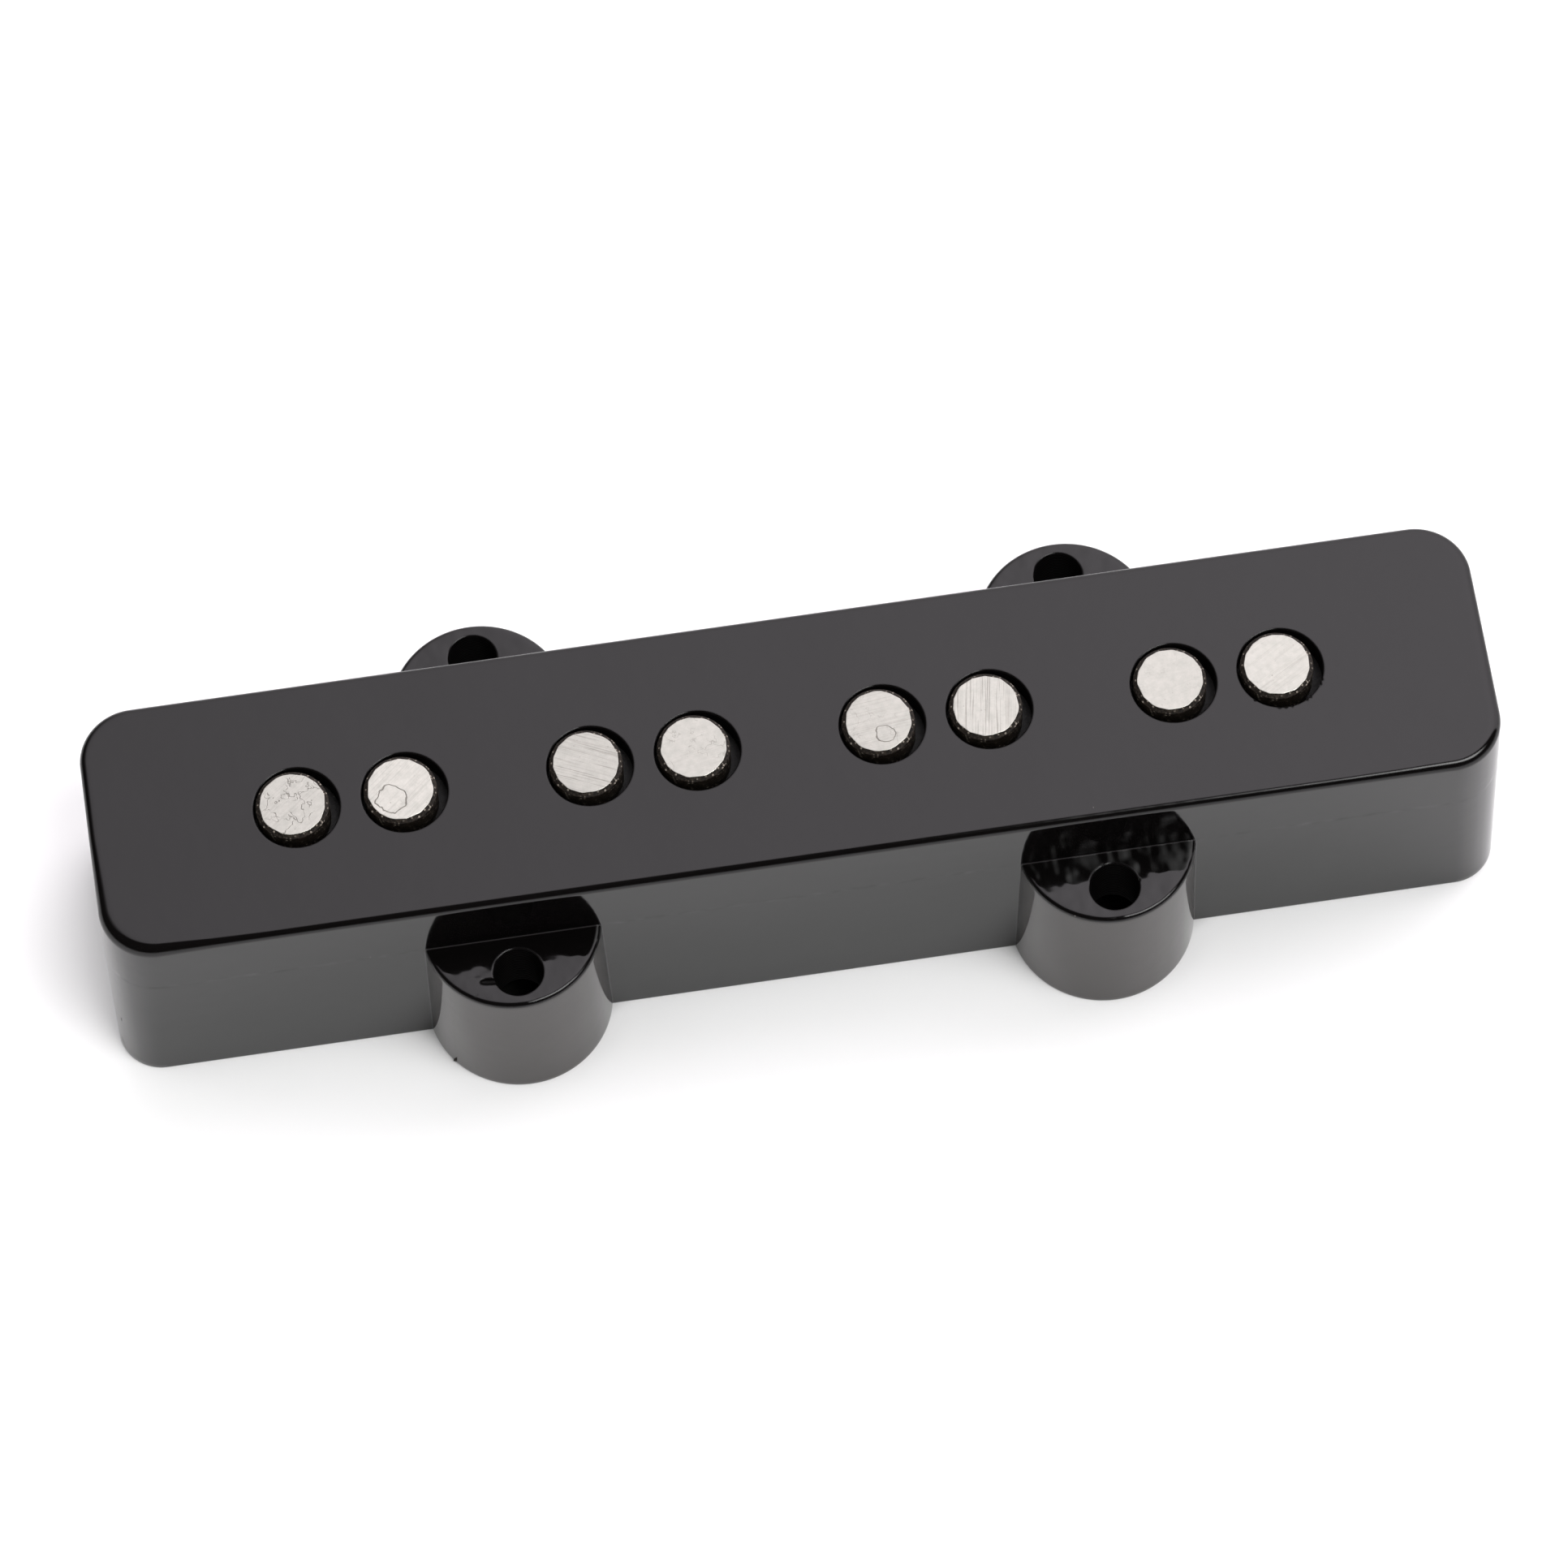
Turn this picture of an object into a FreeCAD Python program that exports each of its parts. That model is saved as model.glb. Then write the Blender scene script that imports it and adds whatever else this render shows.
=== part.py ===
import FreeCAD, Part
import os
import Sketcher

# Single-coil pickup for a four-string bass guitar: eight magnets stand through two fibre plates,
# the coil is wound round them between the plates, and a moulded cover with four screw ears drops
# over the whole from above. Millimetres; +X along the cover, +Y across it, +Z up to the strings.
# The origin is the middle of the cover at its bottom rim.

SIZES = [
    ("cover_length", 91.95, "cover along the string row, at the bottom rim"),
    ("cover_width", 18.25, "cover across at the bottom rim, without its ears"),
    ("cover_height", 18.0, "bottom rim to top face"),
    ("draft", 0.0227, "lean of the moulded walls, as a share of their height"),
    ("foot_radius", 2.9, "upright corners of the cover at the bottom rim"),
    ("corner_radius", 3.6, "upright corners of the cover at the top"),
    ("rim_radius", 0.6, "rounding of the top edge"),
    ("side_wall", 1.5, "side walls of the cover"),
    ("top_wall", 1.6, "top of the cover"),
    ("ear_spacing", 38.92, "between the ears, along X"),
    ("ear_offset", 7.87, "centre of an ear's round end, from the middle in Y"),
    ("ear_radius", 6.12, "round end of an ear, at the bottom rim"),
    ("ear_height", 12.7, "bottom rim to the top of an ear"),
    ("ear_edge", 0.3, "rounding of an ear's top edge"),
    ("ear_wall", 1.2, "wall round the hollow under an ear"),
    ("ear_roof", 5.0, "solid part of an ear, above its hollow"),
    ("screw_spacing", 22.6, "between the screw holes, along Y"),
    ("screw_hole", 3.2, "diameter of a screw hole"),
    ("string_pitch", 19.05, "between two strings"),
    ("pair_gap", 7.0, "between the two magnets of a string"),
    ("pole_hole", 5.53, "diameter of the holes over the magnets"),
    ("coil_shift", -0.25, "how far the coil stands off centre in the cover, along X"),
    ("magnet_diameter", 4.76, "rod magnets"),
    ("magnet_bevel", 0.22, "ground edge of a magnet"),
    ("magnet_proud", 0.6, "magnet above the cover's top face"),
    ("plate_end_gap", 0.6, "plates to the cover's end walls"),
    ("plate_side_gap", 0.3, "plates to the cover's side walls"),
    ("ear_gap", 0.6, "bottom plate's ears to the wall round them"),
    ("screw_room", 0.35, "screw notch of the bottom plate, larger than the hole by this, all round"),
    ("seat_gap", 0.1, "top plate to the underside of the cover"),
    ("top_plate", 1.6, "thickness of the top plate"),
    ("bottom_plate", 2.4, "thickness of the bottom plate"),
    ("bottom_recess", 1.5, "bottom plate above the bottom rim"),
    ("tape_fit", 0.02, "core tape to the magnets"),
    ("core_tape", 0.15, "thickness of the core tape"),
    ("coil_build", 2.9, "thickness of the winding"),
    ("wrap_tape", 0.25, "thickness of the tape round the coil"),
    ("wrap_margin", 0.5, "tape's edges short of the plates"),
    ("eyelet_inset", 3.0, "eyelets from the end of the bottom plate"),
    ("eyelet_spacing", 6.0, "between the eyelets, along Y"),
    ("eyelet_bore", 1.6, "hole through an eyelet"),
    ("eyelet_barrel", 2.2, "outside of an eyelet's barrel"),
    ("eyelet_flange", 3.4, "flange under the plate"),
    ("eyelet_rim", 3.0, "rolled rim on top of the plate"),
    ("eyelet_sheet", 0.25, "thickness of flange and rim"),
    ("solder_width", 3.0, "solder across the flange"),
    ("solder_dome", 0.8, "solder below the flange"),
    ("solder_fill", 1.4, "solder up the bore, from the plate's underside"),
    ("tail_diameter", 0.25, "coil wire doubled and twisted into a tail"),
    ("tail_bend", 1.0, "bend of a tail into its eyelet"),
    ("tail_lift", 0.5, "outer tail leaves the coil this high above the plate"),
    ("groove_room", 0.15, "groove of the inner tail, wider and deeper than it by this"),
]

# Sizes that several pieces share, each an expression on the sheet.
CAVITY_TOP = "(Sizes.cover_height - Sizes.top_wall)"
CAVITY_LENGTH = f"(Sizes.cover_length - 2 * Sizes.side_wall - 2 * Sizes.draft * {CAVITY_TOP})"
CAVITY_WIDTH = f"(Sizes.cover_width - 2 * Sizes.side_wall - 2 * Sizes.draft * {CAVITY_TOP})"
CAVITY_RADIUS = "(Sizes.corner_radius - Sizes.side_wall)"
PLATE_LENGTH = f"({CAVITY_LENGTH} - 2 * Sizes.plate_end_gap)"
PLATE_WIDTH = f"({CAVITY_WIDTH} - 2 * Sizes.plate_side_gap)"
PLATE_RADIUS = f"({CAVITY_RADIUS} - Sizes.plate_side_gap)"
MAGNET_LENGTH = "(Sizes.cover_height + Sizes.magnet_proud)"
MAGNET_ROW = "(3 * Sizes.string_pitch + Sizes.pair_gap)"
BOTTOM_PLATE_TOP = "(Sizes.bottom_recess + Sizes.bottom_plate)"
TOP_PLATE_BASE = "(Sizes.cover_height - Sizes.top_wall - Sizes.seat_gap - Sizes.top_plate)"
CORE_RADIUS = "(Sizes.magnet_diameter / 2 + Sizes.tape_fit)"
COIL_INSIDE = f"({CORE_RADIUS} + Sizes.core_tape)"
COIL_OUTSIDE = f"({COIL_INSIDE} + Sizes.coil_build)"
WRAP_OUTSIDE = f"({COIL_OUTSIDE} + Sizes.wrap_tape)"
COIL_HEIGHT = f"({TOP_PLATE_BASE} - {BOTTOM_PLATE_TOP})"
EYELET_X = f"({PLATE_LENGTH} / 2 - Sizes.eyelet_inset)"

# Points of a sketch, as its constraints name them.
ORIGIN, H_AXIS, V_AXIS = -1, -1, -2
START, END, CENTRE = 1, 2, 3

document = FreeCAD.newDocument("bass_pickup")
sheet = document.addObject("Spreadsheet::Sheet", "Sizes")
for row, (alias, size, meaning) in enumerate(SIZES, start=1):
    sheet.set(f"A{row}", meaning)
    sheet.set(f"B{row}", str(size))
    sheet.setAlias(f"B{row}", alias)
document.recompute()


# ---------------------------------------------------------------- sketches and features
def new_body(label, lift="0", shift="Sizes.coil_shift"):
    """One piece, set off the cover's middle by shift and lifted off its rim."""
    body = document.addObject("PartDesign::Body", label)
    body.Label = label
    body.setExpression(".Placement.Base.x", shift)
    body.setExpression(".Placement.Base.z", lift)
    return body


def new_sketch(body, name, role="XY_Plane", height="0"):
    sketch = body.newObject("Sketcher::SketchObject", name)
    planes = {plane.Role: plane for plane in body.Origin.OriginFeatures}
    sketch.AttachmentSupport = (planes[role], [""])
    sketch.MapMode = "FlatFace"
    sketch.setExpression(".AttachmentOffset.Base.z", height)
    return sketch


def point(sketch, x, y):
    return FreeCAD.Vector(sketch.evalExpression(x), sketch.evalExpression(y), 0)


def dimension(sketch, kind, places, expression):
    """A dimension of the sketch, tied to the sheet."""
    size = sketch.evalExpression(expression)
    index = sketch.addConstraint(Sketcher.Constraint(kind, *places, size))
    sketch.setExpression(f"Constraints[{index}]", expression)


def place(sketch, shape, end, x, y):
    """Hold one point of a shape at x, y from the sketch's origin."""
    for kind, axis, distance in (("DistanceX", V_AXIS, x), ("DistanceY", H_AXIS, y)):
        if distance == "0":
            sketch.addConstraint(Sketcher.Constraint("PointOnObject", shape, end, axis))
        else:
            dimension(sketch, kind, (ORIGIN, START, shape, end), distance)


def add_circle(sketch, x, y, diameter):
    radius = sketch.evalExpression(diameter) / 2
    circle = sketch.addGeometry(Part.Circle(point(sketch, x, y), FreeCAD.Vector(0, 0, 1), radius))
    place(sketch, circle, CENTRE, x, y)
    dimension(sketch, "Diameter", (circle,), diameter)


def add_chain(sketch, corners, closed=True):
    """Straight lines from corner to corner, every corner tied to the sheet."""
    ends = corners[1:] + corners[:1] if closed else corners[1:]
    lines = [
        sketch.addGeometry(Part.LineSegment(point(sketch, *here), point(sketch, *there)))
        for here, there in zip(corners, ends)
    ]
    for line, corner in zip(lines, corners):
        place(sketch, line, START, *corner)
    for line, following in zip(lines, lines[1:]):
        sketch.addConstraint(Sketcher.Constraint("Coincident", line, END, following, START))
    if closed:
        sketch.addConstraint(Sketcher.Constraint("Coincident", lines[-1], END, lines[0], START))
    else:
        place(sketch, lines[-1], END, *corners[-1])
    return lines


def add_loop(sketch, outline):
    """Join lines and arcs, in order, into one smooth closed loop."""
    for shape, following in zip(outline, outline[1:] + outline[:1]):
        sketch.addConstraint(Sketcher.Constraint("Tangent", shape, END, following, START))


def add_arc(sketch, x, y, radius, start_degrees, end_degrees):
    circle = Part.Circle(FreeCAD.Vector(x, y, 0), FreeCAD.Vector(0, 0, 1), radius)
    angles = [FreeCAD.Units.Quantity(f"{angle} deg").getValueAs("rad").Value
              for angle in (start_degrees, end_degrees)]
    return sketch.addGeometry(Part.ArcOfCircle(circle, *angles))


def add_rounded_rectangle(sketch, length, width, radius):
    """A rectangle about the origin with round corners."""
    corner = sketch.evalExpression(radius)
    reach = point(sketch, f"{length} / 2", f"{width} / 2")
    inner = FreeCAD.Vector(reach.x - corner, reach.y - corner, 0)
    sides = [
        ((-inner.x, -reach.y), (inner.x, -reach.y)),
        ((reach.x, -inner.y), (reach.x, inner.y)),
        ((inner.x, reach.y), (-inner.x, reach.y)),
        ((-reach.x, inner.y), (-reach.x, -inner.y)),
    ]
    centres = [(inner.x, -inner.y), (inner.x, inner.y), (-inner.x, inner.y), (-inner.x, -inner.y)]
    outline = []
    for turn, (side, centre) in enumerate(zip(sides, centres)):
        start, end = (FreeCAD.Vector(*at, 0) for at in side)
        outline.append(sketch.addGeometry(Part.LineSegment(start, end)))
        outline.append(add_arc(sketch, *centre, corner, 90 * turn - 90, 90 * turn))
    add_loop(sketch, outline)
    bottom, first_arc, right, second_arc, top, third_arc, left, fourth_arc = outline
    for line, direction in ((bottom, "Horizontal"), (right, "Vertical"), (top, "Horizontal"), (left, "Vertical")):
        sketch.addConstraint(Sketcher.Constraint(direction, line))
    for arc in (second_arc, third_arc, fourth_arc):
        sketch.addConstraint(Sketcher.Constraint("Equal", first_arc, arc))
    sketch.addConstraint(Sketcher.Constraint("Symmetric", first_arc, CENTRE, third_arc, CENTRE, ORIGIN, START))
    dimension(sketch, "DistanceX", (left, START, right, START), length)
    dimension(sketch, "DistanceY", (bottom, START, top, START), width)
    dimension(sketch, "Radius", (first_arc,), radius)


def add_racetrack(sketch, straight, radius):
    """Two half circles about the ends of the magnet row, joined by straight sides."""
    end = sketch.evalExpression(straight) / 2
    side = sketch.evalExpression(radius)
    near = sketch.addGeometry(Part.LineSegment(FreeCAD.Vector(-end, -side, 0), FreeCAD.Vector(end, -side, 0)))
    right = add_arc(sketch, end, 0, side, -90, 90)
    far = sketch.addGeometry(Part.LineSegment(FreeCAD.Vector(end, side, 0), FreeCAD.Vector(-end, side, 0)))
    left = add_arc(sketch, -end, 0, side, 90, 270)
    add_loop(sketch, [near, right, far, left])
    for line in (near, far):
        sketch.addConstraint(Sketcher.Constraint("Horizontal", line))
    sketch.addConstraint(Sketcher.Constraint("Symmetric", left, CENTRE, right, CENTRE, ORIGIN, START))
    dimension(sketch, "DistanceX", (left, CENTRE, right, CENTRE), straight)
    dimension(sketch, "Radius", (right,), radius)


def add_leaning_block(body, kind, name, foot, top, height):
    """A loft from a rounded rectangle at the rim to a smaller one at a height; foot and top are
    (length, width, corner radius)."""
    sketches = [new_sketch(body, f"{name}_foot"), new_sketch(body, f"{name}_top", height=height)]
    for sketch, (length, width, radius) in zip(sketches, (foot, top)):
        add_rounded_rectangle(sketch, length, width, radius)
    block = body.newObject(f"PartDesign::{kind}", name)
    block.Profile = sketches[0]
    block.Sections = [sketches[1]]
    block.Ruled = True
    return block


def add_feature(body, kind, name, sketch, length=None, reverse=False):
    """A Pad, Pocket or Revolution of a sketch."""
    feature = body.newObject(f"PartDesign::{kind}", name)
    feature.Profile = sketch
    if length is not None:
        feature.setExpression("Length", length)
        feature.Reversed = reverse
    return feature


def dress(body, kind, name, base, edges, size_name, size):
    """Round or bevel the named edges of the feature before it."""
    feature = body.newObject(f"PartDesign::{kind}", name)
    feature.Base = (base, edges)
    feature.setExpression(size_name, size)
    return feature


def edges_at(feature, height, only_curved=False):
    """Names of a feature's edges that lie at one height."""
    names = []
    for number, edge in enumerate(feature.Shape.Edges, start=1):
        box = edge.BoundBox
        level = max(abs(box.ZMin - height), abs(box.ZMax - height)) < 1e-4
        curved = min(box.XLength, box.YLength) > 0.01
        if level and (curved or not only_curved):
            names.append(f"Edge{number}")
    return names


# ---------------------------------------------------------------- places that repeat
def mirrored(x, y):
    """The same place in each of the four quarters."""
    return [(f"{right} * {x}", f"{far} * {y}") for right in (-1, 1) for far in (-1, 1)]


EARS = mirrored("Sizes.ear_spacing / 2", "Sizes.ear_offset")
SCREWS = mirrored("Sizes.ear_spacing / 2", "Sizes.screw_spacing / 2")
POLES = [
    (f"({string} - 1.5) * Sizes.string_pitch + {side} * Sizes.pair_gap / 2", "0")
    for string in range(4)
    for side in (-1, 1)
]
EYELETS = {"hot": (EYELET_X, "Sizes.eyelet_spacing / 2"), "ground": (EYELET_X, "-Sizes.eyelet_spacing / 2")}


def circles(body, name, places, diameter, height="0"):
    sketch = new_sketch(body, name, height=height)
    for x, y in places:
        add_circle(sketch, x, y, diameter)
    return sketch


# ---------------------------------------------------------------- the cover
def make_cover():
    body = new_body("cover", shift="0")
    lean = "2 * Sizes.draft * Sizes.cover_height"
    foot = ("Sizes.cover_length", "Sizes.cover_width", "Sizes.foot_radius")
    top = (f"(Sizes.cover_length - {lean})", f"(Sizes.cover_width - {lean})", "Sizes.corner_radius")
    add_leaning_block(body, "AdditiveLoft", "cover_block", foot, top, "Sizes.cover_height")
    ears = circles(body, "ear_outline", EARS, "2 * Sizes.ear_radius")
    block = add_feature(body, "Pad", "ears", ears, "Sizes.ear_height")
    block.setExpression("TaperAngle", "-atan(Sizes.draft)")
    document.recompute()
    top_edges = edges_at(block, sheet.cover_height)
    rounded = dress(body, "Fillet", "top_rounding", block, top_edges, "Radius", "Sizes.rim_radius")
    document.recompute()
    ear_edges = edges_at(rounded, sheet.ear_height, only_curved=True)
    dress(body, "Fillet", "ear_rounding", rounded, ear_edges, "Radius", "Sizes.ear_edge")
    mouth = ("(Sizes.cover_length - 2 * Sizes.side_wall)", "(Sizes.cover_width - 2 * Sizes.side_wall)",
             "(Sizes.foot_radius - Sizes.side_wall)")
    roof = (CAVITY_LENGTH, CAVITY_WIDTH, CAVITY_RADIUS)
    add_leaning_block(body, "SubtractiveLoft", "cavity", mouth, roof, CAVITY_TOP)
    hollows = circles(body, "ear_hollow_outline", EARS, "2 * (Sizes.ear_radius - Sizes.ear_wall)")
    add_feature(body, "Pocket", "ear_hollows", hollows, "Sizes.ear_height - Sizes.ear_roof", reverse=True)
    screws = circles(body, "screw_hole_outline", SCREWS, "Sizes.screw_hole")
    add_feature(body, "Pocket", "screw_holes", screws, "Sizes.ear_height", reverse=True)
    poles = circles(body, "pole_hole_outline", POLES, "Sizes.pole_hole")
    add_feature(body, "Pocket", "pole_holes", poles, "Sizes.cover_height", reverse=True)
    return body


# ---------------------------------------------------------------- the two fibre plates
def make_bottom_plate():
    """The lower plate carries the eyelets and reaches into the ears with four ears of its own."""
    body = new_body("bottom_flatwork", "Sizes.bottom_recess")
    outline = new_sketch(body, "bottom_plate_outline")
    add_rounded_rectangle(outline, PLATE_LENGTH, PLATE_WIDTH, PLATE_RADIUS)
    add_feature(body, "Pad", "bottom_plate_sheet", outline, "Sizes.bottom_plate")
    ears = circles(body, "plate_ear_outline", EARS, "2 * (Sizes.ear_radius - Sizes.ear_wall - Sizes.ear_gap)")
    add_feature(body, "Pad", "plate_ears", ears, "Sizes.bottom_plate")
    notches = circles(body, "screw_notch_outline", SCREWS, "Sizes.screw_hole + 2 * Sizes.screw_room")
    add_feature(body, "Pocket", "screw_notches", notches, "Sizes.bottom_plate", reverse=True)
    poles = circles(body, "bottom_magnet_outline", POLES, "Sizes.magnet_diameter")
    add_feature(body, "Pocket", "bottom_magnet_holes", poles, "Sizes.bottom_plate", reverse=True)
    barrels = circles(body, "eyelet_hole_outline", EYELETS.values(), "Sizes.eyelet_barrel")
    add_feature(body, "Pocket", "eyelet_holes", barrels, "Sizes.bottom_plate", reverse=True)
    groove = new_sketch(body, "groove_outline", height="Sizes.bottom_plate")
    width = "(Sizes.tail_diameter + Sizes.groove_room)"
    near = f"(Sizes.eyelet_spacing - {width}) / 2"
    far = f"(Sizes.eyelet_spacing + {width}) / 2"
    add_chain(groove, [(f"{MAGNET_ROW} / 2", near), (EYELET_X, near), (EYELET_X, far), (f"{MAGNET_ROW} / 2", far)])
    add_feature(body, "Pocket", "tail_groove", groove, width)
    return body


def make_top_plate():
    body = new_body("top_flatwork", TOP_PLATE_BASE)
    outline = new_sketch(body, "top_plate_outline")
    add_rounded_rectangle(outline, PLATE_LENGTH, PLATE_WIDTH, PLATE_RADIUS)
    add_feature(body, "Pad", "top_plate_sheet", outline, "Sizes.top_plate")
    poles = circles(body, "top_magnet_outline", POLES, "Sizes.magnet_diameter")
    add_feature(body, "Pocket", "top_magnet_holes", poles, "Sizes.top_plate", reverse=True)
    return body


# ---------------------------------------------------------------- magnets
def make_magnet(number, x):
    """A ground rod, bevelled at both ends, flush with the cover's bottom rim."""
    body = new_body(f"magnet_{number}", shift=f"Sizes.coil_shift + {x}")
    section = circles(body, f"magnet_{number}_section", [("0", "0")], "Sizes.magnet_diameter")
    rod = add_feature(body, "Pad", f"magnet_{number}_rod", section, MAGNET_LENGTH)
    document.recompute()
    ends = edges_at(rod, 0) + edges_at(rod, sheet.cover_height + sheet.magnet_proud)
    dress(body, "Chamfer", f"magnet_{number}_bevel", rod, ends, "Size", "Sizes.magnet_bevel")
    return body


# ---------------------------------------------------------------- windings and tapes
def make_winding(label, inside, outside, base, height):
    """A layer that goes round the whole row of magnets."""
    body = new_body(label, base)
    section = new_sketch(body, f"{label}_section")
    add_racetrack(section, MAGNET_ROW, inside)
    add_racetrack(section, MAGNET_ROW, outside)
    add_feature(body, "Pad", f"{label}_layer", section, height)
    return body


# ---------------------------------------------------------------- eyelets, solder and wire tails
def make_turned(label, place_xy, outline_corners, dome=False):
    """A round piece on the upright line through an eyelet, z counted from the plate's underside."""
    x, y = place_xy
    body = new_body(label, "Sizes.bottom_recess", f"Sizes.coil_shift + {x}")
    body.setExpression(".Placement.Base.y", y)
    profile = new_sketch(body, f"{label}_profile", "XZ_Plane")
    lines = add_chain(profile, outline_corners, closed=not dome)
    if dome:
        add_dome(profile, lines, outline_corners)
    turned = add_feature(body, "Revolution", f"{label}_turned", profile)
    turned.ReferenceAxis = (profile, ["V_Axis"])
    turned.Angle = 360
    return body


def add_dome(sketch, lines, corners):
    """Close a profile with the arc of a ball that is centred on the axis."""
    rim = point(sketch, *corners[-1])
    tip = point(sketch, *corners[0])
    rise = rim.y - tip.y
    radius = (rim.x ** 2 + rise ** 2) / (2 * rise)
    centre = FreeCAD.Vector(0, tip.y + radius, 0)
    circle = Part.Circle(centre, FreeCAD.Vector(0, 0, 1), radius)
    arc = sketch.addGeometry(Part.ArcOfCircle(circle, circle.parameter(tip), circle.parameter(rim)))
    sketch.addConstraint(Sketcher.Constraint("Coincident", arc, START, lines[0], START))
    sketch.addConstraint(Sketcher.Constraint("Coincident", arc, END, lines[-1], END))
    sketch.addConstraint(Sketcher.Constraint("PointOnObject", arc, CENTRE, V_AXIS))


def make_eyelet(side, place_xy):
    bore = "Sizes.eyelet_bore / 2"
    barrel = "Sizes.eyelet_barrel / 2"
    flange = "Sizes.eyelet_flange / 2"
    rim = "Sizes.eyelet_rim / 2"
    below = "-Sizes.eyelet_sheet"
    plate = "Sizes.bottom_plate"
    above = "Sizes.bottom_plate + Sizes.eyelet_sheet"
    corners = [(bore, below), (flange, below), (flange, "0"), (barrel, "0"),
               (barrel, plate), (rim, plate), (rim, above), (bore, above)]
    return make_turned(f"{side}_eyelet", place_xy, corners)


def make_solder(side, place_xy):
    bore = "Sizes.eyelet_bore / 2"
    spread = "Sizes.solder_width / 2"
    below = "-Sizes.eyelet_sheet"
    corners = [("0", f"{below} - Sizes.solder_dome"), ("0", "Sizes.solder_fill"), (bore, "Sizes.solder_fill"),
               (bore, below), (spread, below)]
    return make_turned(f"{side}_solder", place_xy, corners, dome=True)


def make_tail(label, y, start_x, height):
    """A wire tail: straight from the coil, then over and down into its eyelet's bore."""
    body = new_body(label, height, f"Sizes.coil_shift + {start_x}")
    body.setExpression(".Placement.Base.y", y)
    run = f"({EYELET_X} - {start_x})"
    drop = f"({height} - Sizes.bottom_recess - Sizes.solder_fill)"
    path = new_sketch(body, f"{label}_path", "XZ_Plane")
    bend = path.evalExpression("Sizes.tail_bend")
    reach = path.evalExpression(run)
    climb_x = reach - bend * (1 + 3 ** 0.5)
    straight = path.addGeometry(Part.LineSegment(FreeCAD.Vector(0, 0, 0), FreeCAD.Vector(climb_x, 0, 0)))
    climb = add_arc(path, climb_x, bend, bend, -90, -30)
    over = add_arc(path, reach - bend, 0, bend, 0, 150)
    fall = path.addGeometry(Part.LineSegment(
        FreeCAD.Vector(reach, 0, 0), FreeCAD.Vector(reach, -path.evalExpression(drop), 0)))
    path.addConstraint(Sketcher.Constraint("Coincident", straight, START, ORIGIN, START))
    path.addConstraint(Sketcher.Constraint("Horizontal", straight))
    path.addConstraint(Sketcher.Constraint("Tangent", straight, END, climb, START))
    path.addConstraint(Sketcher.Constraint("Tangent", climb, END, over, END))
    path.addConstraint(Sketcher.Constraint("Tangent", over, START, fall, START))
    path.addConstraint(Sketcher.Constraint("Vertical", fall))
    path.addConstraint(Sketcher.Constraint("PointOnObject", over, CENTRE, H_AXIS))
    path.addConstraint(Sketcher.Constraint("Equal", climb, over))
    dimension(path, "Radius", (climb,), "Sizes.tail_bend")
    place(path, fall, END, run, f"-{drop}")
    section = new_sketch(body, f"{label}_section", "YZ_Plane")
    add_circle(section, "0", "0", "Sizes.tail_diameter")
    pipe = body.newObject("PartDesign::AdditivePipe", f"{label}_wire")
    pipe.Profile = section
    pipe.Spine = (path, ["Edge1", "Edge2", "Edge3", "Edge4"])
    return body


# ---------------------------------------------------------------- the assembly
pieces = [make_cover(), make_bottom_plate(), make_top_plate()]
for number, (x, y) in enumerate(POLES, start=1):
    pieces.append(make_magnet(number, x))
pieces.append(make_winding("core_tape", CORE_RADIUS, COIL_INSIDE, BOTTOM_PLATE_TOP, COIL_HEIGHT))
pieces.append(make_winding("coil", COIL_INSIDE, COIL_OUTSIDE, BOTTOM_PLATE_TOP, COIL_HEIGHT))
pieces.append(make_winding("coil_tape", COIL_OUTSIDE, WRAP_OUTSIDE, f"{BOTTOM_PLATE_TOP} + Sizes.wrap_margin",
                           f"{COIL_HEIGHT} - 2 * Sizes.wrap_margin"))
for side, place_xy in EYELETS.items():
    pieces.append(make_eyelet(side, place_xy))
    pieces.append(make_solder(side, place_xy))
GROOVE_FLOOR = f"({BOTTOM_PLATE_TOP} - Sizes.tail_diameter - Sizes.groove_room)"
INNER_TAIL_HEIGHT = f"({GROOVE_FLOOR} + (Sizes.tail_diameter + Sizes.groove_room) / 2)"
OUTER_TAIL_HEIGHT = f"({BOTTOM_PLATE_TOP} + Sizes.tail_lift)"
OUTER_TAIL_START = f"({MAGNET_ROW} / 2 + sqrt(pow({WRAP_OUTSIDE}; 2) - pow(Sizes.eyelet_spacing / 2; 2)))"
pieces.append(make_tail("start_lead", EYELETS["hot"][1], f"({MAGNET_ROW} / 2)", INNER_TAIL_HEIGHT))
pieces.append(make_tail("finish_lead", EYELETS["ground"][1], OUTER_TAIL_START, OUTER_TAIL_HEIGHT))
document.recompute()

# ---------------------------------------------------------------- checks, then one file per piece
for item in document.Objects:
    if "Invalid" in item.State or "Error" in item.State:
        raise ValueError(f"{item.Label} did not build: {item.State}")
    if item.TypeId == "PartDesign::Pocket" and item.Shape.Volume > item.BaseFeature.Shape.Volume - 1e-3:
        raise ValueError(f"{item.Label} cuts nothing")
    if item.TypeId == "Sketcher::SketchObject" and item.solve() != 0:
        raise ValueError(f"{item.Label} cannot be solved")
for piece in pieces:
    if piece.Shape.isNull() or not piece.Shape.isValid() or len(piece.Shape.Solids) != 1:
        raise ValueError(f"{piece.Label} is not one valid solid")

os.makedirs("parts", exist_ok=True)
for piece in pieces:
    piece.Shape.exportStep(f"parts/{piece.Label}.step")
    print(f"{piece.Label}: {piece.Shape.Volume:.2f} mm3")
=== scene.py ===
import math
import random

import bmesh
import bpy
from mathutils import Matrix, Vector


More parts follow.
